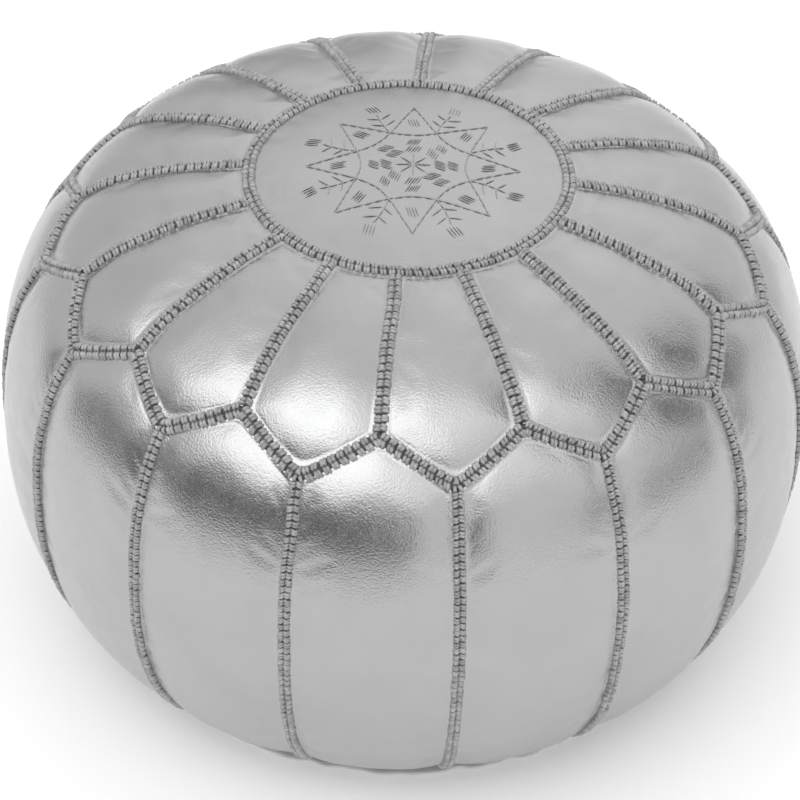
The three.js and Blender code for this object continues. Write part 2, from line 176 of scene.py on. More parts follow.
def make_camera():
    data = bpy.data.cameras.new("camera")
    data.lens = CAMERA_LENS
    data.sensor_width = 36
    camera = add_object("camera", data)
    level, rise = math.cos(CAMERA_ELEVATION), math.sin(CAMERA_ELEVATION)
    back = Vector((math.sin(CAMERA_AZIMUTH) * level, -math.cos(CAMERA_AZIMUTH) * level, rise))
    place = Matrix.Translation(CAMERA_CENTRE + back * CAMERA_DISTANCE)
    right = Vector((math.cos(CAMERA_AZIMUTH), math.sin(CAMERA_AZIMUTH), 0))
    up = back.cross(right)
    forward = (-back + right * math.tan(CAMERA_AIM[0]) + up * math.tan(CAMERA_AIM[1])).normalized()
    right = forward.cross(up).normalized()
    up = right.cross(forward)
    basis = Matrix((right, up, -forward)).transposed().to_4x4()
    camera.matrix_world = place @ basis @ Matrix.Rotation(CAMERA_ROLL, 4, "Z")
    bpy.context.scene.camera = camera


make_camera()


# Floor, surroundings and light ------------------


def node_tree(data):
    data.use_nodes = True
    tree = data.node_tree
    tree.nodes.clear()
    return tree


def feed(tree, node, inputs):
    """Sets a node's sockets to values or to other nodes' outputs."""
    for name, value in inputs.items():
        if isinstance(value, bpy.types.NodeSocket):
            tree.links.new(value, node.inputs[name])
        else:
            node.inputs[name].default_value = value


def add_node(tree, kind, inputs=None, **settings):
    node = tree.nodes.new(kind)
    for name, value in settings.items():
        setattr(node, name, value)
    feed(tree, node, inputs or {})
    return node


def math_node(tree, operation, *values):
    return add_node(tree, "ShaderNodeMath", dict(enumerate(values)), operation=operation).outputs[0]


# What surrounds the pouf: level, azimuth range, elevation range and softness of the edges, in degrees.
# Azimuth 0 is towards -Y and grows towards +X. Later patches lie over earlier ones.
SURROUNDINGS = [
    (0.84, (-172, -100), (-20, 62), 8),  # left wall
    (1.30, (-128, -90), (56, 84), 10),
    (1.05, (12, 82), (2, 38), 8),  # right wall
    (1.45, (8, 74), (38, 86), 10),
    (2.3, (-78, 9), (34, 85), 8),  # the large soft box, high at the front left
    (1.2, (8, 24), (38, 58), 6),
    (0.17, (-62, 8), (-7, 22), 6),  # the dark side of the studio under it
    (0.25, (-97, -56), (-14, 11), 6),
    (0.55, (-84, -66), (10, 35), 5),
    (0.22, (84, 110), (12, 56), 6),  # a dark stand at the right
    (0.28, (56, 98), (-20, 3), 6),
    (0.5, (-180, -157), (-22, 12), 6),
    (1.08, (-200, -150), (24, 58), 9),  # the back wall, as the medallion mirrors it
    (1.17, (150, 200), (24, 58), 9),
]
AMBIENT = 0.97


def make_world():
    """A white studio for the camera; what the leather mirrors is set by SURROUNDINGS."""
    world = bpy.data.worlds.new("studio")
    scene = bpy.context.scene
    scene.world = world
    scene.view_settings.view_transform = "Standard"
    tree = node_tree(world)
    where = add_node(tree, "ShaderNodeTexCoord").outputs["Generated"]
    xyz = add_node(tree, "ShaderNodeSeparateXYZ", {"Vector": where})

    def mix(factor, a, b):
        inputs = {"Factor": factor, "A": a, "B": b}
        return add_node(tree, "ShaderNodeMix", inputs, data_type="FLOAT").outputs["Result"]

    def step(value, low, high):
        inputs = {"Value": value, "From Min": low, "From Max": high}
        node = add_node(tree, "ShaderNodeMapRange", inputs, interpolation_type="SMOOTHSTEP")
        return node.outputs["Result"]

    back_to_front = math_node(tree, "MULTIPLY", xyz.outputs["Y"], -1.0)
    azimuth = math_node(tree, "ARCTAN2", xyz.outputs["X"], back_to_front)
    azimuth = math_node(tree, "DEGREES", azimuth)
    elevation = math_node(tree, "DEGREES", math_node(tree, "ARCSINE", xyz.outputs["Z"]))
    level = AMBIENT
    for value, around, upward, soft in SURROUNDINGS:
        inside = 1.0
        for angle, (low, high) in ((azimuth, around), (elevation, upward)):
            for start, end in ((low - soft, low + soft), (high + soft, high - soft)):
                inside = math_node(tree, "MULTIPLY", inside, step(angle, start, end))
        level = mix(inside, level, value)
    level = mix(add_node(tree, "ShaderNodeLightPath").outputs["Is Camera Ray"], level, 1.0)
    background = add_node(tree, "ShaderNodeBackground", {"Color": (1, 1, 1, 1), "Strength": level})
    add_node(tree, "ShaderNodeOutputWorld", {"Surface": background.outputs[0]})


FLOOR = {
    "Base Color": (0.9, 0.9, 0.9, 1),
    "Roughness": 0.6,
    "Specular IOR Level": 0.2,
    "Emission Color": (1, 1, 1, 1),
    "Emission Strength": 0.09,
}
FLOOR_RADIUS, FLOOR_SIDES = 2.3, 96


def make_floor():
    mesh = bpy.data.meshes.new("floor")
    angles = [i * 2 * math.pi / FLOOR_SIDES for i in range(FLOOR_SIDES)]
    corners = [(FLOOR_RADIUS * math.cos(a), FLOOR_RADIUS * math.sin(a), 0) for a in angles]
    mesh.from_pydata(corners, [], [tuple(range(FLOOR_SIDES))])
    material = bpy.data.materials.new("floor_white")
    tree = node_tree(material)
    shader = add_node(tree, "ShaderNodeBsdfPrincipled", FLOOR)
    # Clear from below, so that the base and its zip can be looked at.
    from_below = add_node(tree, "ShaderNodeNewGeometry").outputs["Backfacing"]
    clear = add_node(tree, "ShaderNodeBsdfTransparent").outputs[0]
    surface = add_node(tree, "ShaderNodeMixShader", {0: from_below, 1: shader.outputs[0], 2: clear})
    add_node(tree, "ShaderNodeOutputMaterial", {"Surface": surface.outputs[0]})
    add_object("floor", mesh, material)


make_world()
make_floor()


# Materials --------------------------------------


def principled(name, color, roughness, metallic=0.0):
    material = bpy.data.materials.new(name)
    tree = node_tree(material)
    inputs = {"Base Color": (*color, 1), "Roughness": roughness, "Metallic": metallic}
    shader = add_node(tree, "ShaderNodeBsdfPrincipled", inputs)
    add_node(tree, "ShaderNodeOutputMaterial", {"Surface": shader.outputs[0]})
    where = add_node(tree, "ShaderNodeTexCoord").outputs["Object"]
    return material, tree, shader, where


def noise_texture(tree, where, scale, detail=2.0, roughness=0.5):
    inputs = {"Vector": where, "Scale": scale, "Detail": detail, "Roughness": roughness}
    return add_node(tree, "ShaderNodeTexNoise", inputs).outputs["Fac"]


def remap(tree, value, low, high, start, end):
    inputs = {"Value": value, "From Min": low, "From Max": high, "To Min": start, "To Max": end}
    return add_node(tree, "ShaderNodeMapRange", inputs).outputs["Result"]


def bump(tree, height, strength, distance, normal=None):
    inputs = {"Height": height, "Strength": strength, "Distance": distance}
    if normal is not None:
        inputs["Normal"] = normal
    return add_node(tree, "ShaderNodeBump", inputs).outputs["Normal"]


def gray_mix(tree, factor, dark, light):
    inputs = {"Factor": factor, 6: (*dark, 1), 7: (*light, 1)}
    return add_node(tree, "ShaderNodeMix", inputs, data_type="RGBA").outputs[2]


def leather_material(name, color, roughness, metallic, grain=1.0):
    """Foiled leather: fine pebbled grain, slight clouding in the foil, and soft unevenness."""
    material, tree, shader, where = principled(name, color, roughness, metallic)
    inputs = {"Vector": where, "Scale": 900.0, "Randomness": 1.0}
    cells = add_node(tree, "ShaderNodeTexVoronoi", inputs, feature="F1").outputs["Distance"]
    ripple = noise_texture(tree, where, 720.0, 2.5, 0.6)
    soft = noise_texture(tree, where, 90.0, 2.0, 0.5)
    clouds = noise_texture(tree, where, 22.0, 4.0, 0.55)
    shade = tuple(c * 0.95 for c in color)
    clouded = gray_mix(tree, remap(tree, clouds, 0.35, 0.65, 0, 1), shade, color)
    uneven = remap(tree, soft, 0.3, 0.7, roughness - 0.03, roughness + 0.04)
    normal = bump(tree, soft, 0.12 * grain, 0.0008)
    normal = bump(tree, ripple, 0.8 * grain, 0.0003, normal)
    normal = bump(tree, cells, 0.25 * grain, 0.00016, normal)
    feed(tree, shader, {"Base Color": clouded, "Roughness": uneven, "Normal": normal})
    return material


SILVER = leather_material("silver_leather", (0.456, 0.457, 0.461), 0.22, 1.0)


# Mesh helpers -----------------------------------


def mesh_object(name, points, faces, *materials):
    """A smooth mesh from an array of points and an array of faces that all have as many corners."""
    mesh = bpy.data.meshes.new(name)
    faces = np.asarray(faces, np.int32)
    corners = faces.shape[1]
    mesh.vertices.add(len(points))
    mesh.vertices.foreach_set("co", np.asarray(points, np.float32).ravel())
    mesh.loops.add(faces.size)
    mesh.loops.foreach_set("vertex_index", faces.ravel())
    mesh.polygons.add(len(faces))
    mesh.polygons.foreach_set("loop_start", np.arange(0, faces.size, corners, dtype=np.int32))
    mesh.polygons.foreach_set("use_smooth", np.ones(len(faces), bool))
    mesh.update(calc_edges=True)
    mesh.validate()
    return add_object(name, mesh, *materials)


def attach(piece, node=None, body="cover"):
    """Puts a piece on a body, in place of a node if one is named."""
    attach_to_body(piece, body)
    if node:
        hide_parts(node)


def quads(index):
    """Faces of a grid of vertex numbers."""
    a, b, c, d = index[:-1, :-1], index[1:, :-1], index[1:, 1:], index[:-1, 1:]
    return np.stack([a, b, c, d], -1).reshape(-1, 4)


def closed_piece(name, outside, thickness, wrap, material, levels=1):
    """A sheet from a grid of points and its inner face, closed round the edge.

    wrap joins its last column to the first.
    """
    rows, columns = outside.shape[:2]
    if wrap:
        overlapping = np.concatenate([outside[:, -1:], outside, outside[:, :1]], 1)
        across = np.gradient(overlapping, axis=1)[:, 1:-1]
    else:
        across = np.gradient(outside, axis=1)
    normal = np.cross(np.gradient(outside, axis=0), across)
    inside = outside - unit(normal) * thickness
    count = rows * columns
    index = np.arange(count).reshape(rows, columns)
    if wrap:
        index = looped(index)
        edges = [index[0], index[-1][::-1]]
    else:
        sides = [index[0, :-1], index[:-1, -1], index[-1, :0:-1], index[:0:-1, 0], index[0, :1]]
        edges = [np.concatenate(sides)]
    face = quads(index)
    faces = [face, face[:, ::-1] + count]
    for edge in edges:
        here, there = edge[:-1], edge[1:]
        faces.append(np.stack([here, there, there + count, here + count], -1))
    points = np.vstack([outside.reshape(-1, 3), inside.reshape(-1, 3)])
    piece = mesh_object(name, points, np.vstack(faces), material)
    if levels:
        modifier = piece.modifiers.new("smooth", "SUBSURF")
        modifier.levels = modifier.render_levels = levels
    return piece


# Leather panels ---------------------------------

# Leather beside a seam: sunk under the braid, raised where it comes out, creased where the stitches end.
STITCHED_STRIP = 5.2 * MM
SEAM_PROFILE = ((0, -1.0), (2.2, -0.8), (3.7, 0.25), (4.3, 0.2), (5.2, -0.6))  # distance, height (mm)
MEDALLION_SINK = 1.0 * MM
PETAL_SWELL, SIDE_SWELL = 2.2 * MM, 1.6 * MM
SWELL_REACH = 21 * MM
LEATHER = 1.4 * MM
SLANT_COSINE = 0.82  # of the zigzag's legs against the cover's slope
FULLNESS = 0.013  # how much larger a panel is cut than the space between its seams
CLOTH = {
    "quality": 5,
    "mass": 0.4,
    "air_damping": 4,
    "tension_stiffness": 60,
    "compression_stiffness": 60,
    "shear_stiffness": 30,
    "bending_stiffness": 6,
    "tension_damping": 20,
    "compression_damping": 20,
    "shear_damping": 20,
    "shrink_min": -FULLNESS,
    "uniform_pressure_force": 9.0,
}
CLOTH_FRAMES = 20
CAP = 11 * MM  # the furthest that any point may move
TAUTNESS = 0.34  # share of the simulated movement that the stuffed, taut leather keeps


def evenly(count):
    """Shares from 0 to 1, closer together near both ends."""
    t = np.linspace(0, 1, count)
    return t - np.sin(2 * math.pi * t) / (2 * math.pi) * 0.5


class Panel:
    """A grid of leather between two side seams and two cross seams."""

    def __init__(self, node, first_turn, top, bottom, rows, columns):
        self.node = node
        self.rows, self.columns = rows, columns
        across, down = np.meshgrid(evenly(columns), evenly(rows))
        turn = first_turn + across
        high, low = top(turn), bottom(turn)
        distance = high + (low - high) * down
        from_side = np.minimum(across, 1 - across) * section(distance)[0] * SEAM_ANGLE
        from_top = (distance - high) * (SLANT_COSINE if top is zigzag else 1)
        from_bottom = (low - distance) * (SLANT_COSINE if bottom is zigzag else 1)
        self.from_seam = np.minimum(from_side, np.minimum(from_top, from_bottom))
        from_seam, height = np.array(SEAM_PROFILE).T * MM
        strip = np.interp(self.from_seam, from_seam, height)
        pull = np.sin(distance / (9.5 * MM) + 2.2 * turn) + np.sin(5.3 * turn + 1.0)
        strip = np.where(strip > 0, strip * (0.5 + 0.5 * pull), strip)
        swell = np.clip((self.from_seam - STITCHED_STRIP) / SWELL_REACH, 0, 1)
        puff = PETAL_SWELL if bottom is zigzag else SIDE_SWELL
        lift = strip * (1 - swell) + puff * np.sin(swell * math.pi / 2)
        grid = cover(turn, distance, lift)
        self.points = grid.reshape(-1, 3)
        self.width = np.linalg.norm(np.diff(grid, axis=1), axis=-1).sum(1).max()
        self.length = np.linalg.norm(np.diff(grid, axis=0), axis=-1).sum(0).max()
        self.area = grid_area(grid)


def petals():
    for i in range(PANELS):
        yield Panel(f"top_petal_{i + 1:02d}", i, lambda t: np.full_like(t, RING), zigzag, 52, 30)


def side_panels():
    for i in range(PANELS):
        yield Panel(f"side_panel_{i + 1:02d}", i + 0.5, zigzag, lambda t: np.full_like(t, HEM), 100, 34)


def blow_up(panels):
    """Cloth under pressure, pinned along the stitched strips."""
    counts = [len(p.points) for p in panels]
    starts = np.cumsum([0] + counts[:-1])
    points = np.vstack([p.points for p in panels])
    grids = [np.arange(n).reshape(p.rows, p.columns) + s for p, s, n in zip(panels, starts, counts)]
    faces = np.vstack([quads(grid) for grid in grids])
    cloth = mesh_object("cloth", points, faces)
    pins = np.concatenate([(p.from_seam < STITCHED_STRIP * 1.01).ravel() for p in panels])
    group = cloth.vertex_groups.new(name="pins")
    group.add(np.flatnonzero(pins).tolist(), 1.0, "REPLACE")
    modifier = cloth.modifiers.new("cloth", "CLOTH")
    settings = modifier.settings
    settings.vertex_group_mass = "pins"
    settings.use_pressure = True
    for name, value in CLOTH.items():
        setattr(settings, name, value)
    settings.effector_weights.gravity = 0
    modifier.collision_settings.use_collision = False
    modifier.collision_settings.use_self_collision = False
    scene = bpy.context.scene
    modifier.point_cache.frame_start = 1
    modifier.point_cache.frame_end = CLOTH_FRAMES
    for step in range(1, CLOTH_FRAMES + 1):
        scene.frame_set(step)
    graph = bpy.context.evaluated_depsgraph_get()
    shaped = cloth.evaluated_get(graph).data
    result = np.empty(len(points) * 3, np.float32)
    shaped.vertices.foreach_get("co", result)
    scene.frame_set(1)
    bpy.data.objects.remove(cloth)
    result = result.reshape(-1, 3).astype(float)
    move = (result - points) * TAUTNESS
    length = np.linalg.norm(move, axis=1, keepdims=True)
    result = points + move * np.minimum(1, CAP / np.maximum(length, TINY))
    for panel, points in zip(panels, np.split(result, starts[1:])):
        panel.points = points


def leather_piece(panel):
    outside = panel.points.reshape(panel.rows, panel.columns, 3)
    piece = closed_piece(panel.node + "_leather", outside, LEATHER, False, SILVER)
    attach(piece, panel.node)


panels = [*petals(), *side_panels()]
blow_up(panels)
for panel in panels:
    leather_piece(panel)


# Medallion --------------------------------------

MEDALLION_PUFF = 1.6 * MM
MEDALLION_STRIP = 3.2 * MM


def medallion_lift(turn, distance):
    """Height of the medallion's leather over the outline, with radial tension marks near the ring."""
    from_edge = RING - distance
    rise = np.clip(from_edge / MEDALLION_STRIP, 0, 1)
    dome = np.sin(np.clip((from_edge - MEDALLION_STRIP) / (30 * MM), 0, 1) * math.pi / 2)
    angle = turn * SEAM_ANGLE
    marks = sum(
        share * np.sin(count * angle + phase)
        for share, count, phase in ((0.20, 7, 1.0), (0.16, 19, 2.1), (0.12, 31, 0.3), (0.08, 47, 4.0))
    )
    near = np.exp(-((from_edge - 9 * MM) / (9 * MM)) ** 2)
    swell = 0.25 * np.sin(2.3 * angle + 0.4) * np.sin(distance / (26 * MM))
    return -MEDALLION_SINK * (1 - rise**2) + MEDALLION_PUFF * dome + (marks * near + swell * rise) * MM


def make_medallion():
    """The sheet starts at a hole in its middle that is less than a hair across."""
    segments, rows = 192, 46
    distance = np.concatenate([[0.02 * MM], RING * np.linspace(0.022, 1, rows - 1) ** 0.9])
    turn, down = np.meshgrid(np.arange(segments) * PANELS / segments, distance)
    outside = cover(turn, down, medallion_lift(turn, down))
    piece = closed_piece("top_medallion_leather", outside, LEATHER, True, SILVER)
    attach(piece, "top_medallion")


make_medallion()


# Threads ----------------------------------------


def thread_material(name, color, dark, roughness, scale):
    """Mercerised cotton thread: fine fibres, uneven dye and a soft gloss."""
    material, tree, shader, where = principled(name, color, roughness)
    feed(tree, shader, {"Specular IOR Level": 0.9, "Sheen Weight": 0.15, "Sheen Roughness": 0.4})
    fibres = noise_texture(tree, where, scale, 3.0, 0.6)
    dye = noise_texture(tree, where, 160.0, 2.0, 0.5)
    both = math_node(tree, "MULTIPLY", fibres, dye)
    tint = gray_mix(tree, remap(tree, both, 0.14, 0.36, 0, 1), dark, color)
    feed(tree, shader, {"Base Color": tint, "Normal": bump(tree, fibres, 0.5, 0.0002)})
    return material


BRAID_THREAD = thread_material("seam_thread", (0.44, 0.441, 0.447), (0.22, 0.221, 0.226), 0.22, 2600)
# Near-black thread for the braid's core and the welt's hem: its darkness is painted shade between the
# strands and in the crease at the welt.
PAINTED_SHADE_THREAD = thread_material("seam_core_painted_shade", (0.07, 0.07, 0.072), (0.035, 0.035, 0.036), 0.8, 1800)
FINE_THREAD = thread_material("embroidery_thread", (0.37, 0.371, 0.376), (0.25, 0.251, 0.256), 0.3, 3200)


def tubes(paths, radii, sides, ply=0.0):
    """Closed tubes round many paths at once, an array of tubes, stations and coordinates.

    ply is how deep the groove between two twisted plies is, as a share of the radius.
    """
    count, stations = paths.shape[:2]
    along = unit(np.gradient(paths, axis=1))
    guide = np.zeros_like(along)
    guide[..., 2] = 1
    steep = np.abs(along[:, :, 2]).mean(1) > 0.8
    guide[steep] = (1, 0, 0)
    first = unit(np.cross(along, guide))
    second = np.cross(along, first)
    angle = np.arange(sides) * 2 * math.pi / sides
    ring = first[:, :, None] * np.cos(angle)[:, None] + second[:, :, None] * np.sin(angle)[:, None]
    steps = np.linalg.norm(np.diff(paths, axis=1), axis=-1)
    run = np.concatenate([np.zeros((count, 1)), np.cumsum(steps, 1)], 1)
    twist = 2 * (angle - 2 * math.pi * run[..., None] / PLY_PITCH)
    points = paths[:, :, None] + ring * (radii[:, :, None] * (1 + ply * np.cos(twist)))[..., None]
    base = np.arange(count * stations * sides).reshape(count, stations, sides)
    after = np.roll(base, -1, axis=2)
    walls = np.stack([base[:, :-1], after[:, :-1], after[:, 1:], base[:, 1:]], -1).reshape(-1, 4)
    caps = []
    for end, flip in ((0, 1), (stations - 1, -1)):
        rim = base[:, end, ::flip]
        for i in range(1, sides // 2):
            caps.append(rim[:, [i - 1, sides - i, sides - i - 1, i]])
    return points.reshape(-1, 3), np.vstack([walls, *caps])


def thread_piece(name, paths, radii, material):
    points, faces = tubes(paths, radii, 6)
    attach(mesh_object(name, points, faces, material))


BRAID_WIDTH = 7.6 * MM
PLY_DEPTH, PLY_PITCH = 0.13, 3 * MM  # of two twisted plies; the depth is a share of the radius
STITCH_GAP = 1.05 * MM
STRANDS = 2  # strands thrown to each side in one stitch
STRAND_SPACING = 2.0 * MM
STRAND_RADIUS = 1.16 * MM
# One strand from beside the seam's middle to the outer edge, where it dives into the leather (mm).
STRAND_REACH = (0.72, 1.05, 2.15, 3.3, 3.75)
STRAND_RISE = (-0.6, 0.95, 1.65, 0.75, -1.2)
# The core: a low arch along the seam, coloured near black as painted shade where it shows between the
# strands. Across the seam, height (mm).
SHADE_CORE_SHAPE = (
    *((-3.3, -0.9), (-2.7, 0.1), (-1.3, 0.8), (0, 0.45)),
    *((1.3, 0.8), (2.7, 0.1), (3.3, -0.9), (0, -1.4)),
)
CORE_STEP = 2.7 * MM
AHEAD = 1.2 * MM  # how far to either side a seam's direction is measured


class SeamPath:
    """A seam on the cover, followed by length."""

    def __init__(self, turns, distances, closed=False):
        self.closed = closed
        self.along = run_length(cover(turns, distances))
        self.length = self.along[-1]
        self.turns, self.distances = turns, distances

    def on_seam(self, where, lift=0.0):
        if self.closed:
            where = where % self.length
        turn = np.interp(where, self.along, self.turns)
        return cover(turn, np.interp(where, self.along, self.distances), lift)

    def place(self, where, across, height):
        """Points beside the seam: so far along it, across it and outwards."""
        point = self.on_seam(where)
        out = (self.on_seam(where, MM) - point) / MM
        direction = unit(self.on_seam(where + AHEAD) - self.on_seam(where - AHEAD))
        side = unit(np.cross(direction, out))
        return point + side * across[..., None] + out * height[..., None]


def braid(name, path, node, dice, width=1.0, stitch=5.4 * MM):
    """Hand-sewn braid: each stitch throws strands to both sides of the seam, over a core coloured near
    black as painted shade between the strands.
    """
    stitches = max(2, round(path.length / stitch))
    pitch = path.length / stitches
    stations = 8
    sweep = np.linspace(0, 1, stations)
    knots = [0, 0.16, 0.5, 0.84, 1]
    reach = np.interp(sweep, knots, STRAND_REACH) * MM * width
    rise = np.interp(sweep, knots, STRAND_RISE) * MM
    order = np.arange(stitches)
    bends = max(3, round(path.length / (22 * MM)))
    marks = np.linspace(0, path.length, bends)
    stray = np.interp((order + 0.5) * pitch, marks, dice.normal(0, 0.3, bends))
    squeeze = (pitch - STITCH_GAP) / (STRAND_SPACING + 2 * STRAND_RADIUS)
    paths, radii = [], []
    for side in (-1, 1):
        size = 1 + dice.normal(0, 0.05, stitches)
        lean = (0.45 + dice.normal(0, 0.25, stitches)) * MM
        shift = dice.normal(0, 0.14, stitches) * MM
        for strand in range(STRANDS):
            offset = (strand - (STRANDS - 1) / 2) * STRAND_SPACING * squeeze
            middle = (order + 0.5 + 0.05 * side) * pitch + offset + shift
            wander = dice.normal(0, 0.1, (stitches, 1)) * MM
            where = middle[:, None] + lean[:, None] * (sweep - 0.5) * 1.6 + wander
            across = side * reach * size[:, None] + stray[:, None] * MM
            height = rise * (1 + dice.normal(0, 0.09, (stitches, 1)))
            if not path.closed:
                where = np.clip(where, 0.2 * MM, path.length - 0.2 * MM)
            paths.append(path.place(where, across, height))
            thick = STRAND_RADIUS * squeeze * (1 + dice.normal(0, 0.06, (stitches, 1)))
            radii.append(np.broadcast_to(thick, where.shape))
    points, faces = tubes(np.concatenate(paths), np.concatenate(radii), 8, PLY_DEPTH)
    strand_faces = len(faces)
    rows = max(4, round(path.length / CORE_STEP))
    where = np.linspace(0, path.length, rows, endpoint=not path.closed)
    across, height = np.array(SHADE_CORE_SHAPE).T * MM
    where, across, height = np.broadcast_arrays(where[:, None], across * width, height)
    core = path.place(where, across, height)
    index = np.arange(core.size // 3).reshape(rows, -1) + len(points)
    if path.closed:
        index = np.vstack([index, index[:1]])
    core_faces = [quads(looped(index))]
    if not path.closed:
        for row, flip in ((0, 1), (-1, -1)):
            ring = index[row, ::flip]
            core_faces.append(np.array([ring[[0, 1, 6, 7]], ring[[1, 2, 5, 6]], ring[[2, 3, 4, 5]]]))
    faces = np.vstack([faces, *core_faces])
    points = np.vstack([points, core.reshape(-1, 3)])
    piece = mesh_object(name, points, faces, BRAID_THREAD, PAINTED_SHADE_THREAD)
    # The core's faces take the near-black thread: painted shade between the strands.
    kinds = np.zeros(len(piece.data.polygons), np.int32)
    kinds[strand_faces:] = 1
    piece.data.polygons.foreach_set("material_index", kinds)
    attach(piece, node)


TOP_BRAID, LOWER_BRAID = "ring_and_petal_seam_braid", "zigzag_and_side_seam_braid"
ZIGZAG_REACH = 3.3 * MM  # from the zigzag's line to where a seam's braid starts


def make_braids():
    dice = np.random.default_rng(7)
    fine = 2400
    turns = np.linspace(0, PANELS, fine + 1)
    braid("ring_braid", SeamPath(turns, np.full(fine + 1, RING), True), TOP_BRAID, dice, 0.98, 5.2 * MM)
    braid("zigzag_braid", SeamPath(turns, zigzag(turns), True), LOWER_BRAID, dice, 1.08, 5.6 * MM)
    for i in range(PANELS):
        share = np.linspace(0, 1, 200)
        start, end = RING + BRAID_WIDTH / 2 - 0.4 * MM, float(zigzag(i)) - ZIGZAG_REACH
        path = SeamPath(np.full(200, float(i)), start + (end - start) * share)
        braid(f"petal_seam_braid_{i + 1:02d}", path, TOP_BRAID, dice, 0.98, 5.5 * MM)
        start, end = float(zigzag(i + 0.5)) + ZIGZAG_REACH, HEM - 3.5 * MM
        path = SeamPath(np.full(200, i + 0.5), start + (end - start) * share)
        braid(f"side_seam_braid_{i + 1:02d}", path, LOWER_BRAID, dice, 0.84, 4.8 * MM)


make_braids()


# Embroidery on the medallion --------------------

STAR_CENTRE = (3.0 * MM, -3.5 * MM)
STAR_POINT = 0.665 * RING_RADIUS * MM
THREAD_RADIUS = 0.38 * MM
ALONG = np.linspace(0, 1, 7)[:, None]  # the stations of one stitch
STAR_THREAD_RADIUS = 0.5 * MM  # the star is sewn twice over
STAR_TURN = math.radians(3.6)
STAR_GAP = 0.05 * MM  # between two stitches of a line


def star_place(radius, degrees):
    angle = np.radians(degrees) + STAR_TURN
    return np.stack([radius * np.cos(angle), radius * np.sin(angle)], -1)


def on_medallion(flat):
    """Lifts flat points on to the medallion's leather."""
    x, y = flat[..., 0] + STAR_CENTRE[0], flat[..., 1] + STAR_CENTRE[1]
    distance = distance_to(np.hypot(x, y))
    turn = (np.arctan2(x, -y) / SEAM_ANGLE) % PANELS
    return cover(turn, distance, medallion_lift(turn, distance) + 0.12 * MM)


def stitches_along(flat, dice, length=6.5 * MM):
    """Splits a flat line into hand stitches, each a short line of points."""
    along = run_length(flat)
    count = max(1, round(along[-1] / length))
    edges = np.linspace(0, along[-1], count + 1)
    edges[1:-1] += dice.normal(0, 0.12 * length, count - 1)
    out = []
    for a, b in zip(edges[:-1], edges[1:]):
        where = np.linspace(a + STAR_GAP / 2, b - STAR_GAP / 2, 7)
        line = np.stack([np.interp(where, along, flat[:, k]) for k in (0, 1)], -1)
        line += dice.normal(0, 0.08 * MM, 2)
        out.append(line)
    return out


def star_lines(dice):
    """The star: two squares with sides that bow inwards, sewn over each other at an eighth of a turn."""
    lines = []
    for corner in range(8):
        a = star_place(STAR_POINT, corner * 45)
        b = star_place(STAR_POINT, (corner + 2) * 45 + dice.normal(0, 0.4))
        t = np.linspace(0, 1, 30)[:, None]
        bow = 0.31 * np.sin(math.pi * t) ** 0.9
        chord = a * (1 - t) + b * t
        lines += stitches_along(chord * (1 - bow), dice)
    return lines


def hatch(centre, axis, across, count, width, length, dice, slant):
    """A block of parallel stitches. They run along axis and lie side by side along across."""
    lines = []
    for k in range(count):
        offset = (k - (count - 1) / 2) * width / max(1, count - 1)
        middle = centre + across * offset + axis * dice.normal(0, 0.25 * MM)
        span = np.linspace(-0.5, 0.5, 7)[:, None] * length * (1 + dice.normal(0, 0.06))
        lines.append(middle + axis * span + across * span * slant)
    return lines


def motif_lines(dice):
    lines = []
    for arm in range(8):
        degrees = arm * 45
        out = star_place(1.0, degrees)
        side = star_place(1.0, degrees + 90)
        # hatching inside the star's point
        lines += hatch(out * STAR_POINT * 0.7, out, side, 4, 5.6 * MM, 10.5 * MM, dice, 0.25)
        # centre: spokes with two blocks each
        start, end = out * 0.6 * MM, out * 12 * MM
        lines.append(start * (1 - ALONG) + end * ALONG)
        for near, size in ((0.25, 1.0), (0.37, 0.9)):
            lean = 0.5 if arm % 2 else -0.5
            block = (5, 7.4 * MM * size, 8.0 * MM * size)
            lines += hatch(out * STAR_POINT * near, out, side, *block, dice, lean)
        # sprigs between the points
        degrees = (arm + 0.5) * 45
        out = star_place(1.0, degrees)
        side = star_place(1.0, degrees + 90)
        root, tip = STAR_POINT * 0.56, STAR_POINT * 0.93
        t = np.linspace(0, 1, 20)[:, None]
        bend = side * (1.2 * MM) * np.sin(math.pi * t)
        stem = out * (root + (tip - root) * t) + bend
        lines += stitches_along(stem, dice, 7 * MM)
        for share in (0.38, 0.72):
            base = out * (root + (tip - root) * share)
            for hand in (-1, 1):
                barb = base + (out * 4.6 * MM + side * hand * 9.0 * MM) * ALONG
                lines.append(barb + dice.normal(0, 0.15 * MM, 2))
        lines += hatch(out * (tip + 6.5 * MM), out, side, 4, 6.4 * MM, 10.0 * MM, dice, 0.2)
    return lines


def make_embroidery():
    dice = np.random.default_rng(11)
    star = star_lines(dice)
    flat = np.stack(star + motif_lines(dice))
    lifted = on_medallion(flat)
    dip = np.array([-0.5, 0.12, 0.24, 0.28, 0.24, 0.12, -0.5]) * MM
    lifted[..., 2] += dip
    radii = np.full(flat.shape[:2], THREAD_RADIUS)
    radii[: len(star)] = STAR_THREAD_RADIUS
    thread_piece("medallion_embroidery", lifted, radii, FINE_THREAD)


make_embroidery()


# Base -------------------------------------------

BASE_RADIUS = 198 * MM
RECESS = 8 * MM
RECESS_RADIUS = 122 * MM
REST_RADIUS = 148 * MM
SLIT_LENGTH = 228 * MM
SLIT_HALF = 6.5 * MM
BASE_SHEET = 1.6 * MM
HEM_WIDTH = 9 * MM  # leather folded back along the slit

BASE = leather_material("base_leather", (0.44, 0.44, 0.445), 0.38, 0.85, 1.3)
LIP_PAINTED_LIGHT = leather_material("lip_leather_painted_light", (0.66, 0.66, 0.665), 0.45, 0.35)  # lighter and less metallic than the other leather: painted light, so the shaded lip reads bright


def smooth(value, low, high):
    t = np.clip((value - low) / (high - low), 0, 1)
    return t * t * (3 - 2 * t)


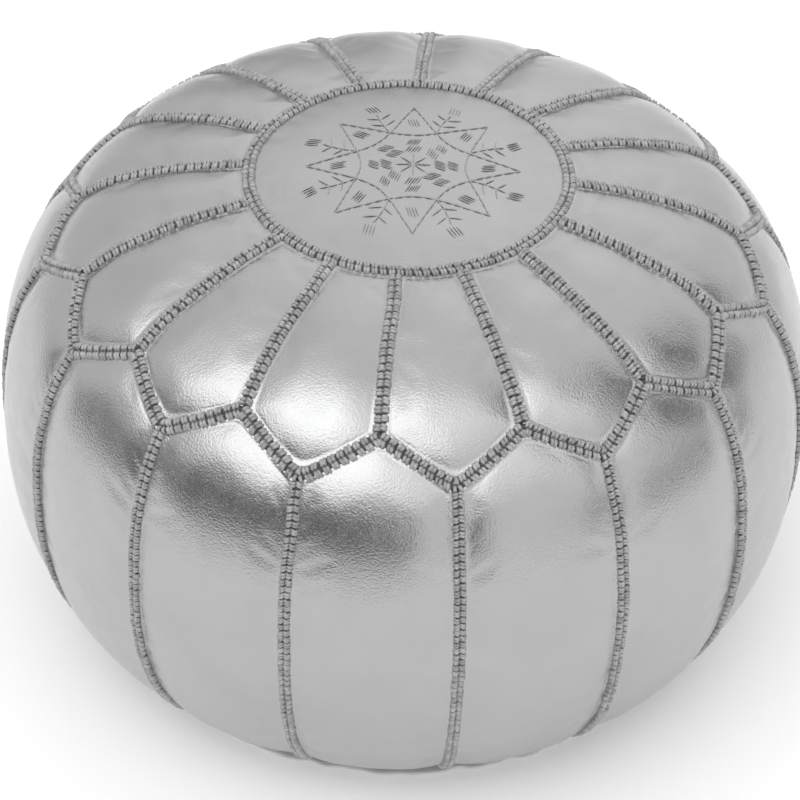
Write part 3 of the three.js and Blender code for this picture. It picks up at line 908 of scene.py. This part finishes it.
def base_height(x, y):
    """Height of the base's underside: a ring that rests on the floor, and a recess for the zip."""
    radius = np.hypot(x, y)
    angle = np.arctan2(y, x)
    height = RECESS * (1 - smooth(radius, RECESS_RADIUS - 8 * MM, REST_RADIUS))
    free = 1 - smooth(radius, 120 * MM, 150 * MM)
    drag = np.sin(26 * angle + 2 * np.sin(3 * angle)) * smooth(radius, 70 * MM, 125 * MM) * free
    sag = np.sin(x / (31 * MM) + 0.6) * np.sin(np.abs(y) / (23 * MM) + 0.4)
    height = height + (0.35 * drag + 0.45 * sag * free) * MM
    height = height + 1.1 * MM * smooth(radius, 188 * MM, BASE_RADIUS)
    return np.maximum(height, 0.02 * MM)


def slit_edge(x):
    """Distance of a half's inner edge from the middle line."""
    closed = smooth(np.abs(x), SLIT_LENGTH / 2 - 6 * MM, SLIT_LENGTH / 2)
    return SLIT_HALF + (0.25 * MM - SLIT_HALF) * closed


def make_base_half(node, side):
    columns = 190
    x = -BASE_RADIUS * 0.9996 * np.cos(np.linspace(0, math.pi, columns))
    hem = np.linspace(0, 1, 15) * 14 * MM
    rest = np.linspace(0, 1, 58)[1:]
    edge = slit_edge(x)
    rim = np.sqrt(BASE_RADIUS**2 - x**2)
    room = rim - edge
    near = np.minimum(hem[:, None], room * np.linspace(0, 1, 15)[:, None] * 0.3)
    far = near[-1] + (room - near[-1]) * rest[:, None]
    inward = np.vstack([near, far])
    y = side * (edge + inward)
    x = np.broadcast_to(x, y.shape)
    height = base_height(x, y)
    in_slit = 1 - smooth(np.abs(x), SLIT_LENGTH / 2 - 4 * MM, SLIT_LENGTH / 2 + 6 * MM)
    fold = 1 - smooth(inward, HEM_WIDTH - 0.6 * MM, HEM_WIDTH + 0.6 * MM)
    height = height - 0.75 * MM * fold * in_slit
    points = np.stack([x, y, height], -1)
    if side < 0:
        points = points[:, ::-1]
    piece = closed_piece(node + "_leather", points, BASE_SHEET, False, BASE, levels=0)
    attach(piece, node)


def make_base_stitching():
    """Lock stitches beside the zip, and cross stitches that close the base beyond the slit."""
    lines = []
    run = SLIT_LENGTH / 2 - 2 * MM
    for side in (-1, 1):
        for offset in (2.2 * MM, 6.6 * MM):
            for x in np.arange(-run, run, 3.4 * MM):
                y = side * (float(slit_edge(x)) + offset)
                lines.append(np.array([x, y]) + ALONG * [2.7 * MM, 0])
        for x in np.arange(SLIT_LENGTH / 2 + 3 * MM, BASE_RADIUS - 6 * MM, 4.2 * MM):
            for lean in (-1, 1):
                start = np.array([side * x, -2.6 * MM])
                lines.append(start + ALONG * [lean * 2.6 * MM, 5.2 * MM] - [lean * 1.3 * MM, 0])
    flat = np.stack(lines)
    x, y = flat[..., 0], flat[..., 1]
    fold = (np.abs(x) < SLIT_LENGTH / 2) * 0.75 * MM
    dip = np.array([-0.5, 0.02, 0.14, 0.2, 0.14, 0.02, -0.5]) * MM
    height = np.maximum(base_height(x, y) - fold - dip, 0.27 * MM)
    paths = np.stack([x, y, height], -1)
    thread_piece("base_stitching", paths, np.full(x.shape, 0.26 * MM), BRAID_THREAD)


WELT_INNER, WELT_OUTER = 198.4 * MM, 220 * MM
WELT_SEGMENTS = 720
WELT_MIDDLE, WELT_HALF = 1.55 * MM, 1.15 * MM  # height of its middle, half of its thickness
HEM_STITCHES = 300
HEM_STITCH_RADIUS, HEM_STITCH_HEIGHT = 207.4, 3.9 * MM


def flattened(wave, power):
    """A sine or cosine that stays longer near its ends."""
    return np.sign(wave) * np.abs(wave) ** power


def make_welt():
    """The leather lip where the side panels meet the base. It ruffles a little between the side seams."""
    angle = np.arange(WELT_SEGMENTS) * 2 * math.pi / WELT_SEGMENTS
    theta = np.linspace(0, 2 * math.pi, 12, endpoint=False)
    ruffle = 1.2 * np.sin(16 * angle + 0.5) + 0.9 * np.sin(41 * angle + 1.0) + 0.5 * np.sin(67 * angle)
    nip = np.exp(-(((angle - 0.42) / 0.03) ** 2)) * 2.4
    outer = (WELT_OUTER / MM + 0.8 * ruffle - nip)[:, None] * MM
    middle, half = (outer + WELT_INNER) / 2, (outer - WELT_INNER) / 2
    lift = (0.5 * np.abs(ruffle) + 0.25 * nip)[:, None] * MM
    radius = middle + half * flattened(np.cos(theta), 0.5)
    outward = np.clip((radius - WELT_INNER) / (outer - WELT_INNER), 0, 1)
    height = WELT_MIDDLE + WELT_HALF * flattened(np.sin(theta), 0.7) + lift * outward
    points = around_z(radius, angle[:, None], height)
    index = np.arange(radius.size).reshape(radius.shape)
    faces = quads(looped(np.vstack([index, index[:1]])))
    # The lip's lighter leather is painted light on a lip that lies in shade.
    piece = mesh_object("base_welt_leather", points.reshape(-1, 3), faces, LIP_PAINTED_LIGHT)
    attach(piece, "base_welt")


def make_hem_stitching():
    """The row of near-black thread that sews the welt between the side panels and the base; its darkness
    is painted shade for the crease beside the welt.
    """
    t = np.linspace(0.03, 0.97, 7)
    angle = (np.arange(HEM_STITCHES)[:, None] + t) * 2 * math.pi / HEM_STITCHES
    radius = (HEM_STITCH_RADIUS + 0.3 * np.sin(23 * angle)) * MM
    height = HEM_STITCH_HEIGHT + np.sin(t * math.pi) * 0.35 * MM
    paths = around_z(radius, angle, height)
    thread_piece("hem_stitching", paths, np.full(angle.shape, 0.85 * MM), PAINTED_SHADE_THREAD)


make_base_half("base_half_front", -1)
make_base_half("base_half_back", 1)
make_base_stitching()
make_welt()
make_hem_stitching()


# Inner bag and stuffing -------------------------


def cloth_material(name, color, dark, scale):
    """Plain weave: warp and weft as fine crossing waves, slightly uneven."""
    material, tree, shader, where = principled(name, color, 0.9)
    waves = []
    for direction in ("X", "Y"):
        inputs = {"Vector": where, "Scale": scale, "Distortion": 0.6, "Detail": 1.0}
        wave = add_node(tree, "ShaderNodeTexWave", inputs, bands_direction=direction)
        waves.append(wave.outputs["Fac"])
    weave = math_node(tree, "MULTIPLY", *waves)
    dye = noise_texture(tree, where, 35.0, 3.0, 0.55)
    both = math_node(tree, "ADD", weave, dye)
    tint = gray_mix(tree, remap(tree, both, 0.3, 1.1, 0, 1), dark, color)
    normal = bump(tree, weave, 0.5, 0.0003)
    feed(tree, shader, {"Base Color": tint, "Normal": normal, "Sheen Weight": 0.3})
    return material


COTTON = cloth_material("cotton_bag", (0.78, 0.74, 0.66), (0.66, 0.61, 0.53), 260.0)
TAPE = cloth_material("zip_tape", (0.27, 0.272, 0.28), (0.17, 0.172, 0.18), 330.0)


def fibre_material():
    material, tree, shader, where = principled("fibre_fill", (0.9, 0.89, 0.86), 1.0)
    feed(tree, shader, {"Sheen Weight": 0.5, "Subsurface Weight": 0.15})
    tufts = noise_texture(tree, where, 60.0, 5.0, 0.65)
    hairs = noise_texture(tree, where, 900.0, 4.0, 0.7)
    share = remap(tree, tufts, 0.35, 0.65, 0, 1)
    tint = gray_mix(tree, share, (0.78, 0.77, 0.73), (0.92, 0.91, 0.88))
    fuzz = bump(tree, hairs, 0.7, 0.0006, bump(tree, tufts, 0.8, 0.004))
    feed(tree, shader, {"Base Color": tint, "Normal": fuzz})
    return material


FIBRE = fibre_material()
LINER_INSET = 6 * MM
FILL_INSET = 8.4 * MM
LINER_FLOOR = 14 * MM
LINER_EDGE = 6 * MM
LINER_TURN = 55 * MM
MOUTH_LENGTH = 212 * MM


def inside_profile(inset, floor):
    """Section of what fills the cover, from the crown to the middle of its underside."""
    upper = np.stack(section(np.linspace(0, HEM - LINER_TURN, 70), -inset), -1)
    upper[0, 0] = 0.02 * MM
    low, high = LINER_EDGE + floor, LINER_FLOOR + floor
    corner = [(BASE_RADIUS + 2 * MM, low + 2 * MM), (BASE_RADIUS - 4 * MM, low)]
    under = [(REST_RADIUS, low), (RECESS_RADIUS, high), (0.02 * MM, high)]
    route = np.vstack([upper[-1:], corner, under])
    along = run_length(route)
    where = np.linspace(0, along[-1], 60)[1:]
    lower = np.stack([np.interp(where, along, route[:, k]) for k in (0, 1)], -1)
    return np.vstack([upper, lower])


def turned(profile, segments, push):
    """Points of a profile turned round Z, moved in along its normal by push(angle, station)."""
    slope = unit(np.gradient(profile, axis=0))
    inward = np.stack([slope[:, 1], -slope[:, 0]], -1)
    angle = np.arange(segments) * 2 * math.pi / segments
    amount = push(angle[None], np.arange(len(profile))[:, None])
    radius = profile[:, :1] + inward[:, :1] * amount
    height = profile[:, 1:] + inward[:, 1:] * amount
    return around_z(np.maximum(radius, 0.01 * MM), angle, height)


def make_inner_bag():
    profile = inside_profile(LINER_INSET, 0)

    def wrinkles(angle, station):
        sway = np.sin(station / 5.5 + 2 * np.sin(3 * angle))
        fine = np.sin(23 * angle + 1.3 * np.sin(station / 9)) * sway
        return (0.35 + 0.35 * fine) * MM * np.sin(np.clip(station / 128, 0, 1) * math.pi) ** 0.5

    points = turned(profile, 160, wrinkles)
    piece = closed_piece("inner_bag_cloth", points, 1.0 * MM, True, COTTON, levels=0)
    attach(piece, "inner_bag")
    area = grid_area(looped(points))


def make_mouth_stitching():
    """Cross stitches that close the bag's mouth, over the zip."""
    lines = []
    for x in np.arange(-MOUTH_LENGTH / 2, MOUTH_LENGTH / 2, 5 * MM):
        for lean in (-1, 1):
            start = np.array([x - lean * 1.6 * MM, -2.5 * MM])
            lines.append(start + ALONG * [lean * 3.2 * MM, 5 * MM])
    flat = np.stack(lines)
    height = np.full(flat.shape[:2], LINER_FLOOR)
    height += np.array([0.7, 0.25, 0.1, 0.05, 0.1, 0.25, 0.7]) * MM
    paths = np.concatenate([flat, height[..., None]], -1)
    radii = np.full(height.shape, 0.3 * MM)
    thread_piece("inner_bag_mouth_stitching", paths, radii, COTTON)


def make_stuffing():
    profile = inside_profile(FILL_INSET, 2 * MM)

    def lumps(angle, station):
        waves = 0.0
        for around, down, phase in ((9, 14.0, 0.4), (14, 9.0, 1.9), (23, 6.5, 4.2)):
            twist = np.sin(around * angle + phase + np.sin(station / 11))
            waves = waves + twist * np.sin(station / down + phase)
        return (2.2 + 0.9 * waves) * MM * np.sin(np.clip(station / 128, 0, 1) * math.pi) ** 0.3

    points = turned(profile, 140, lumps)
    rows, columns = points.shape[:2]
    top, bottom = points[0].mean(0), points[-1].mean(0)
    body = points[1:-1].reshape(-1, 3)
    index = looped(np.arange(len(body)).reshape(rows - 2, columns))
    faces = quads(index).tolist()
    crown, floor = len(body), len(body) + 1
    for i in range(columns):
        faces.append((crown, index[0, i], index[0, i + 1]))
        faces.append((floor, index[-1, i + 1], index[-1, i]))
    mesh = bpy.data.meshes.new("stuffing")
    mesh.from_pydata([*body.tolist(), top.tolist(), bottom.tolist()], [], faces)
    mesh.polygons.foreach_set("use_smooth", np.ones(len(mesh.polygons), bool))
    piece = add_object("stuffing_fibre", mesh, FIBRE)
    attach(piece, "stuffing")


make_inner_bag()
make_mouth_stitching()
make_stuffing()


# Zip --------------------------------------------


def metal_material():
    """Nickel-plated brass: brushed lightly, duller in patches."""
    material, tree, shader, where = principled("zip_metal", (0.62, 0.615, 0.60), 0.24, 1.0)
    wear = noise_texture(tree, where, 300.0, 4.0, 0.6)
    dull = remap(tree, wear, 0.3, 0.7, 0.18, 0.38)
    tint = gray_mix(tree, remap(tree, wear, 0.3, 0.7, 0, 1), (0.5, 0.495, 0.48), (0.66, 0.655, 0.64))
    scratches = bump(tree, noise_texture(tree, where, 2200.0, 2.0), 0.15, 0.0001)
    feed(tree, shader, {"Base Color": tint, "Roughness": dull, "Normal": scratches})
    return material


METAL = metal_material()
SIDES = {"front": -1, "back": 1}
TAPE_INNER, TAPE_OUTER, TAPE_LENGTH = 1 * MM, 16 * MM, 236 * MM
TAPE_HEIGHT = 10.34
FLAT = math.radians(3)  # faces that meet at less than this are joined
TOOTH_PITCH = 2.12 * MM
TEETH = 99
FIRST_TOOTH = -105.5 * MM
TOOTH = {"inner": 0.62 * MM, "outer": 3.4 * MM, "width": 1.25 * MM, "low": 7.75 * MM, "high": 9.95 * MM}


def box_object(name, boxes, corner):
    """Metal boxes with chamfered edges. boxes holds the lowest and highest corner of each."""
    boxes = np.asarray(boxes, float)
    points = []
    for low, high in boxes:
        for axis, spot in product(range(3), product((0, 1), repeat=3)):
            inset = np.where(spot, -corner, corner)
            inset[axis] = 0
            points.append(low + (high - low) * spot + inset)
    per = len(points) // len(boxes)
    hull = bmesh.new()
    for point in points[:per]:
        hull.verts.new(point)
    hull.verts.index_update()
    bmesh.ops.convex_hull(hull, input=hull.verts)
    bmesh.ops.dissolve_limit(hull, angle_limit=FLAT, verts=hull.verts, edges=hull.edges)
    shape = [[vert.index for vert in face.verts] for face in hull.faces]
    hull.free()
    faces = [[corner + per * box for corner in face] for box in range(len(boxes)) for face in shape]
    mesh = bpy.data.meshes.new(name)
    mesh.from_pydata(points, [], faces)
    return add_object(name, mesh, METAL)


def make_tape(node, side):
    x = np.linspace(-TAPE_LENGTH / 2, TAPE_LENGTH / 2, 130)
    y = side * np.linspace(TAPE_INNER, TAPE_OUTER, 12)[:, None]
    x, y = np.broadcast_arrays(x, y)
    ripple = 0.12 * np.sin(x / (9 * MM) + side) * smooth(np.abs(y), 4 * MM, 15 * MM)
    height = (TAPE_HEIGHT + ripple) * MM
    points = np.stack([x, y, height], -1)
    if side < 0:
        points = points[:, ::-1]
    piece = closed_piece(node + "_cloth", points, 0.7 * MM, False, TAPE, levels=0)
    attach(piece, node)


def make_teeth(node, side):
    """Fine teeth on one tape. The two rows are half a pitch apart, as on a closed zip."""
    start = FIRST_TOOTH + (0.5 * TOOTH_PITCH if side > 0 else 0)
    boxes = []
    for k in range(TEETH):
        x = start + k * TOOTH_PITCH
        near, far = sorted((side * TOOTH["inner"], side * TOOTH["outer"]))
        boxes.append(((x, near, TOOTH["low"]), (x + TOOTH["width"], far, TOOTH["high"])))
    attach(box_object(node + "_metal", boxes, 0.22 * MM), node)


def make_stops():
    low, high = TOOTH["low"], TOOTH["high"]
    for where, side in SIDES.items():
        near, far = sorted((side * 0.8 * MM, side * 3.5 * MM))
        box = ((107 * MM, near, low), (110 * MM, far, high))
        node = "zip_top_stop_" + where
        attach(box_object(node + "_metal", [box], 0.4 * MM), node)
    box = ((-109.5 * MM, -3.5 * MM, low), (-106.5 * MM, 3.5 * MM, high))
    attach(box_object("zip_bottom_stop_metal", [box], 0.5 * MM), "zip_bottom_stop")


def round_off(node, body, width):
    """A CAD node's shape with its edges rounded."""
    shape = bmesh.new()
    shape.from_mesh(bpy.data.objects[node].data)
    bmesh.ops.remove_doubles(shape, verts=shape.verts, dist=1e-6)
    bmesh.ops.dissolve_limit(shape, angle_limit=FLAT, verts=shape.verts, edges=shape.edges)
    mesh = bpy.data.meshes.new(node + "_metal")
    shape.to_mesh(mesh)
    shape.free()
    piece = add_object(node + "_metal", mesh, METAL)
    modifier = piece.modifiers.new("round", "BEVEL")
    modifier.width = width
    modifier.segments = 3
    modifier.limit_method = "ANGLE"
    modifier.angle_limit = math.radians(25)
    modifier.use_clamp_overlap = True
    attach(piece, node, body)


for zip_side, sign in SIDES.items():
    make_tape("zip_tape_" + zip_side, sign)
    make_teeth("zip_teeth_" + zip_side, sign)
make_stops()
round_off("zip_slider", "slider", 0.32 * MM)
round_off("zip_pull", "pull", 0.22 * MM)
